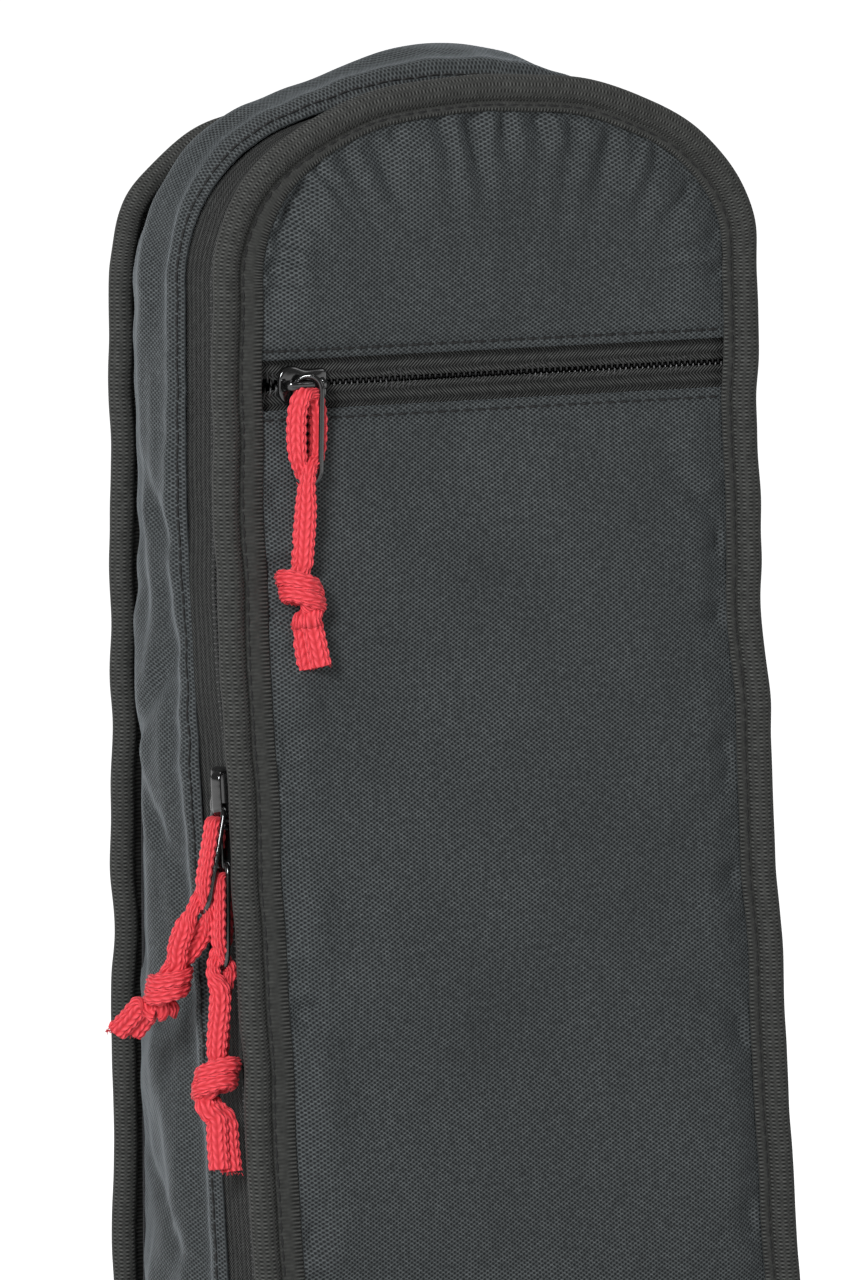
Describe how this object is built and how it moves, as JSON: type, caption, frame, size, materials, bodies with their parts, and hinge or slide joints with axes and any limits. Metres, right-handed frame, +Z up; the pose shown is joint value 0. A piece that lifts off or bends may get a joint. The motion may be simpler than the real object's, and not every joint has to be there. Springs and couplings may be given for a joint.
{
  "type": "skate bag",
  "caption": "Tall narrow soft bag with a rounded top for skate blades: a front flap with a zipped pocket, a two-way main zip and cord zip pulls.",
  "frame": {"origin": "middle of the flat base, on the surface that the bag stands on", "axes": "+Z up along the bag's length, -Y out of the front flap, +X to the right of somebody who looks at the front"},
  "size_m": [0.1527, 0.115, 0.5433],
  "materials": {
    "oxford_cloth": "dark slate grey plain-weave oxford polyester with a soft sheen",
    "grosgrain_binding": "black-grey ribbed grosgrain tape, matt",
    "webbing": "black woven webbing, matt",
    "zip_tape": "black herringbone zip tape, matt",
    "zip_coil": "black nylon coil",
    "lining_cloth": "black lining cloth, matt",
    "foam": "grey closed-cell foam sheet",
    "base_board": "black plastic board",
    "slider_metal": "gloss black lacquer on cast zinc",
    "puller_wire": "gloss black lacquer on steel wire",
    "red_cord": "coral red flat knitted polyester cord"
  },
  "bodies": {
    "shell": {"side_gusset": "oxford_cloth", "back_panel": "oxford_cloth", "back_foam": "foam", "back_lining": "lining_cloth", "back_binding": "grosgrain_binding", "base_panel": "oxford_cloth", "base_board": "base_board", "gusset_zip_tape": "zip_tape", "gusset_zip_coil": "zip_coil", "carry_handle": "webbing"},
    "front_flap": {"front_panel_upper": "oxford_cloth", "front_panel_lower": "oxford_cloth", "pocket_lining": "lining_cloth", "front_binding": "grosgrain_binding", "flap_zip_tape": "zip_tape", "flap_zip_coil": "zip_coil", "pocket_tape_upper": "zip_tape", "pocket_tape_lower": "zip_tape", "pocket_coil_upper": "zip_coil", "pocket_coil_lower": "zip_coil"},
    "pocket_slider": {"pocket_slider": "slider_metal"},
    "pocket_puller": {"pocket_puller": "puller_wire"},
    "pocket_cord": {"pocket_pull_cord": "red_cord"},
    "upper_slider": {"upper_slider": "slider_metal"},
    "upper_puller": {"upper_puller": "puller_wire"},
    "upper_cord": {"upper_pull_cord": "red_cord"},
    "lower_slider": {"lower_slider": "slider_metal"},
    "lower_puller": {"lower_puller": "puller_wire"},
    "lower_cord": {"lower_pull_cord": "red_cord"}
  },
  "joints": [
    {"name": "flap_hinge", "type": "hinge", "parent": "shell", "child": "front_flap", "pos_m": [0, -0.04575, 0.003], "axis": [1, 0, 0], "range_deg": [0, 90]},
    {"name": "pocket_slide", "type": "slide", "parent": "front_flap", "child": "pocket_slider", "axis": [1, 0, 0], "range_m": [-0.004, 0.095]},
    {"name": "pocket_puller_swing", "type": "hinge", "parent": "pocket_slider", "child": "pocket_puller", "pos_m": [-0.045, -0.0119, 0.474], "axis": [-1, 0, 0], "range_deg": [0, 75]},
    {"name": "pocket_cord_swing", "type": "hinge", "parent": "pocket_puller", "child": "pocket_cord", "pos_m": [-0.04603, -0.01343, 0.45288], "axis": [-1, 0, 0], "range_deg": [0, 80]},
    {"name": "upper_slide", "type": "slide", "parent": "shell", "child": "upper_slider", "axis": [0, 0.1211, 0.9926], "range_m": [0, 0.05]},
    {"name": "upper_puller_swing", "type": "hinge", "parent": "upper_slider", "child": "upper_puller", "pos_m": [-0.0657, -0.01022, 0.38342], "axis": [0, 0.9926, -0.1211], "range_deg": [0, 105]},
    {"name": "upper_cord_swing", "type": "hinge", "parent": "upper_puller", "child": "upper_cord", "pos_m": [-0.07134, -0.01295, 0.36098], "axis": [0, 0.9926, -0.1211], "range_deg": [0, 35]},
    {"name": "lower_slide", "type": "slide", "parent": "shell", "child": "lower_slider", "axis": [0, -0.1211, -0.9926], "range_m": [0, 0.21]},
    {"name": "lower_puller_swing", "type": "hinge", "parent": "lower_slider", "child": "lower_puller", "pos_m": [-0.0657, -0.01166, 0.37162], "axis": [0, 0.9926, -0.1211], "range_deg": [0, 9]},
    {"name": "lower_cord_swing", "type": "hinge", "parent": "lower_puller", "child": "lower_cord", "pos_m": [-0.06732, -0.01447, 0.34855], "axis": [0, 0.9926, -0.1211], "range_deg": [0, 80]}
  ]
}
